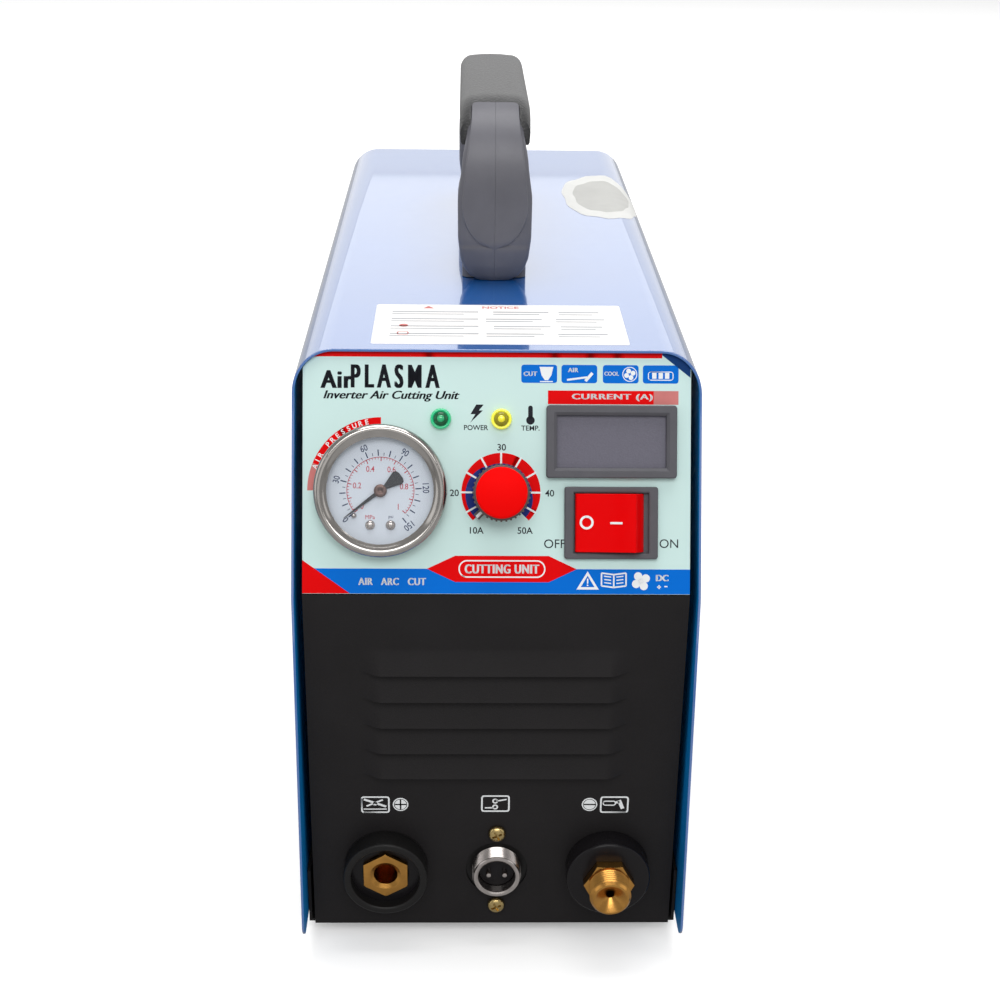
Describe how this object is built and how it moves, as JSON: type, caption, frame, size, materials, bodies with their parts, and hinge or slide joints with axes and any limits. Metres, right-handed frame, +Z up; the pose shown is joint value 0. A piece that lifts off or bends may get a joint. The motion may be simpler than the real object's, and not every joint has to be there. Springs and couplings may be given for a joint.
{
  "type": "plasma cutter unit",
  "caption": "Portable inverter plasma cutter: folded steel case with carrying handle, sloped control panel with air gauge, louvred lower front with torch and work-lead sockets.",
  "frame": {"origin": "middle of the bounding box at floor level, under the feet", "axes": "+Z up, the control panel and sockets face -Y, +X is the right-hand side seen from the front"},
  "size_m": [0.1576, 0.4256, 0.3175],
  "materials": {
    "blue_paint": "gloss powder coat",
    "black_paint": "satin powder coat",
    "printed_foil": "satin printed foil",
    "handle_plastic": "satin moulded",
    "grained_plastic": "leather grain",
    "dark_plastic": "satin moulded",
    "black_plastic": "satin moulded",
    "red_plastic": "gloss moulded",
    "green_lens": "clear tinted",
    "yellow_lens": "clear tinted",
    "smoked_window": "smoked",
    "blue_hose": "smooth",
    "stainless": "polished",
    "chrome_wire": "bright plated",
    "steel": "plated",
    "nickel": "nickel plated",
    "zinc": "yellow zinc plated",
    "black_metal": "blackened",
    "brass": "machined",
    "copper_winding": "enamelled copper wire",
    "dial_white": "matt white",
    "clear_glass": "clear",
    "rubber": "matt",
    "circuit_board": "solder resist",
    "aluminium": "extruded",
    "ferrite": "matt"
  },
  "bodies": {
    "case": {"base_tray": "black_paint", "front_panel": "black_paint", "rear_panel": "black_paint", "outer_cover": "blue_paint", "control_overlay": "printed_foil", "foot_front_left": "rubber", "foot_front_right": "rubber", "foot_rear_left": "rubber", "foot_rear_right": "rubber", "handle_left": "handle_plastic", "handle_right": "handle_plastic", "handle_grip": "grained_plastic", "handle_bolt_front": "zinc", "handle_bolt_rear": "zinc", "gauge_case": "steel", "gauge_bezel": "stainless", "gauge_dial": "dial_white", "gauge_lens": "clear_glass", "potentiometer": "steel", "power_lamp": "green_lens", "temperature_lamp": "yellow_lens", "display_bezel": "dark_plastic", "display_window": "smoked_window", "switch_frame": "dark_plastic", "ground_socket_body": "black_plastic", "ground_socket_insert": "brass", "torch_socket_body": "black_plastic", "torch_socket_fitting": "brass", "signal_socket_shell": "nickel", "signal_socket_insert": "black_plastic", "signal_pin_left": "nickel", "signal_pin_right": "nickel", "signal_screw_upper": "zinc", "signal_screw_lower": "zinc", "fan_frame": "black_plastic", "fan_guard": "chrome_wire", "gland_body": "black_plastic", "gland_cap": "black_plastic", "air_inlet": "brass", "main_board": "circuit_board", "heat_sink_left": "aluminium", "heat_sink_right": "aluminium", "main_transformer": "ferrite", "output_inductor": "copper_winding", "bus_capacitor": "black_plastic", "arc_starter": "black_plastic", "control_board": "circuit_board", "solenoid_valve": "brass", "air_hose": "blue_hose", "cover_screw_left_front": "black_metal", "cover_screw_left_rear": "black_metal", "cover_screw_right_front": "black_metal", "cover_screw_right_rear": "black_metal"},
    "rocker": {"switch_rocker": "red_plastic"},
    "knob": {"knob_body": "dark_plastic", "knob_cap": "red_plastic", "potentiometer_shaft": "steel"},
    "pointer": {"gauge_pointer": "black_metal"},
    "fan": {"fan_rotor": "black_plastic"},
    "plunger": {"valve_plunger": "steel"}
  },
  "joints": [
    {"name": "rocker_pivot", "type": "hinge", "parent": "case", "child": "rocker", "pos_m": [0.0427, -0.17466, 0.18184], "axis": [0, 0.3955, 0.9184], "range_deg": [0, 24]},
    {"name": "knob_turn", "type": "hinge", "parent": "case", "child": "knob", "pos_m": [0.0015, -0.17574, 0.1945], "axis": [0, 0.9184, -0.3955], "range_deg": [0, 270]},
    {"name": "pointer_turn", "type": "hinge", "parent": "case", "child": "pointer", "pos_m": [-0.04335, -0.17738, 0.19575], "axis": [0, 0.9184, -0.3955], "range_deg": [0, 268], "stiffness_Nm_per_rad": 0.0001, "springref_deg": -5.73},
    {"name": "fan_spin", "type": "hinge", "parent": "case", "child": "fan", "pos_m": [0, 0.1748, 0.14], "axis": [0, 1, 0], "continuous": true},
    {"name": "plunger_lift", "type": "slide", "parent": "case", "child": "plunger", "axis": [0, 0, 1], "range_m": [0, 0.003], "stiffness_N_per_m": 150, "springref_m": -0.002}
  ]
}
